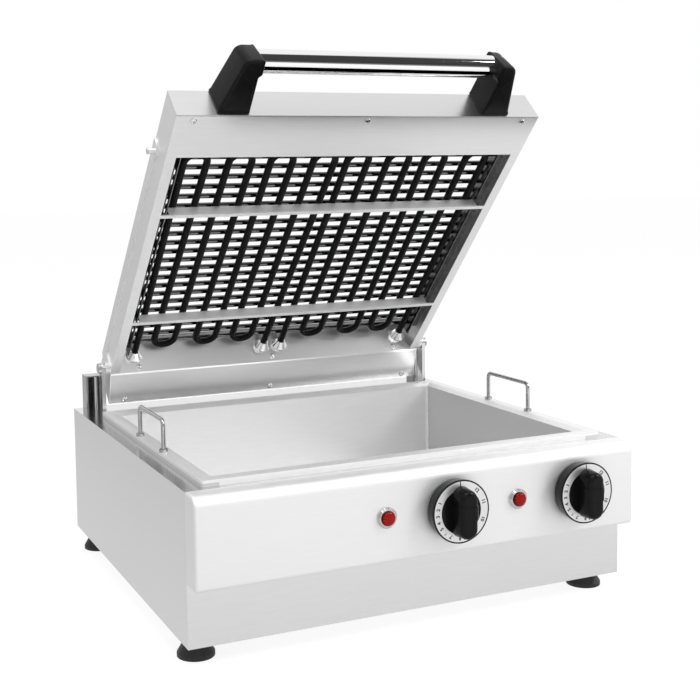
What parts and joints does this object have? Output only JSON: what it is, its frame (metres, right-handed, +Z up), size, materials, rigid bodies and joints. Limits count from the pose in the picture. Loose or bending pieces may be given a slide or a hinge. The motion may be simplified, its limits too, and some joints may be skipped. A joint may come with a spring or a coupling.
{
  "type": "water grill",
  "caption": "Free-standing electric table-top water grill: low steel casing with lift-out water pan, hinged heater frame with grate, bar handle and turning knobs.",
  "frame": {"origin": "middle of the footprint box at the underside of the feet", "axes": "+Z up, -Y towards the user at the control side, +X to the user's right"},
  "size_m": [0.54, 0.557, 0.6444],
  "materials": {
    "casing_steel": "polished stainless sheet",
    "frame_steel": "polished stainless sheet",
    "pan_steel": "satin stainless sheet",
    "polished_steel": "bright polished",
    "screw_steel": "plated steel",
    "element_black": "dark oxidised sheath",
    "handle_black": "fine matte moulding",
    "knob_black": "semi-gloss moulding",
    "dial_silver": "printed silver face",
    "lens_red": "red domed lens",
    "foot_black": "matte rubber",
    "inner_plastic": "plain moulding"
  },
  "bodies": {
    "casing": {"front_panel": "casing_steel", "rear_panel": "casing_steel", "bottom_plate": "casing_steel", "deck_plate": "casing_steel", "control_fascia": "casing_steel", "foot_studs": "screw_steel", "terminal_block": "inner_plastic", "cable_gland": "inner_plastic", "lamp_holders": "inner_plastic", "tie_rods": "polished_steel", "pivot_bolts": "screw_steel", "side_panel_left": "casing_steel", "side_panel_right": "casing_steel", "hinge_post_left": "casing_steel", "hinge_post_right": "casing_steel", "hinge_strap_left": "casing_steel", "hinge_strap_right": "casing_steel", "regulator_body_left": "inner_plastic", "regulator_body_right": "inner_plastic", "lamp_bezel_left": "polished_steel", "lamp_bezel_right": "polished_steel", "lamp_lens_left": "lens_red", "lamp_lens_right": "lens_red", "foot_front_left": "foot_black", "foot_front_right": "foot_black", "foot_rear_left": "foot_black", "foot_rear_right": "foot_black"},
    "water_pan": {"water_pan": "pan_steel", "pan_handle_left": "polished_steel", "pan_handle_right": "polished_steel", "pan_handle_collars": "polished_steel"},
    "knob_left": {"knob_left": "knob_black", "dial_ring_left": "dial_silver", "regulator_shaft_left": "screw_steel"},
    "knob_right": {"knob_right": "knob_black", "dial_ring_right": "dial_silver", "regulator_shaft_right": "screw_steel"},
    "heater_frame": {"front_cap": "frame_steel", "front_cover_plate": "frame_steel", "rear_plate": "frame_steel", "terminal_cover": "frame_steel", "terminal_box": "frame_steel", "cross_bar_front": "frame_steel", "cross_bar_rear": "frame_steel", "element_bushings": "polished_steel", "element_terminals": "screw_steel", "stop_pins": "screw_steel", "handle_tube": "polished_steel", "frame_screws": "screw_steel", "side_member_left": "frame_steel", "side_member_right": "frame_steel", "slotted_rail_left": "frame_steel", "slotted_rail_right": "frame_steel", "heating_element_left": "element_black", "heating_element_right": "element_black", "hinge_arm_left": "frame_steel", "hinge_arm_right": "frame_steel", "handle_bracket_left": "handle_black", "handle_bracket_right": "handle_black"},
    "grate": {"cooking_grate": "polished_steel"}
  },
  "joints": [
    {"name": "lid_hinge", "type": "hinge", "parent": "casing", "child": "heater_frame", "pos_m": [0, 0.20615, 0.2478], "axis": [-1, 0, 0], "range_deg": [-46.9, 0]},
    {"name": "knob_left_turn", "type": "hinge", "parent": "casing", "child": "knob_left", "pos_m": [0.027, -0.24225, 0.1384], "axis": [0, 1, 0], "range_deg": [0, 300]},
    {"name": "knob_right_turn", "type": "hinge", "parent": "casing", "child": "knob_right", "pos_m": [0.192, -0.24225, 0.1384], "axis": [0, 1, 0], "range_deg": [0, 300]},
    {"name": "pan_lift", "type": "slide", "parent": "casing", "child": "water_pan", "axis": [0, 0, 1], "range_m": [0, 0.042]},
    {"name": "grate_lift", "type": "slide", "parent": "heater_frame", "child": "grate", "axis": [0, 0.7302, 0.6833], "range_m": [0, 0.06]}
  ]
}
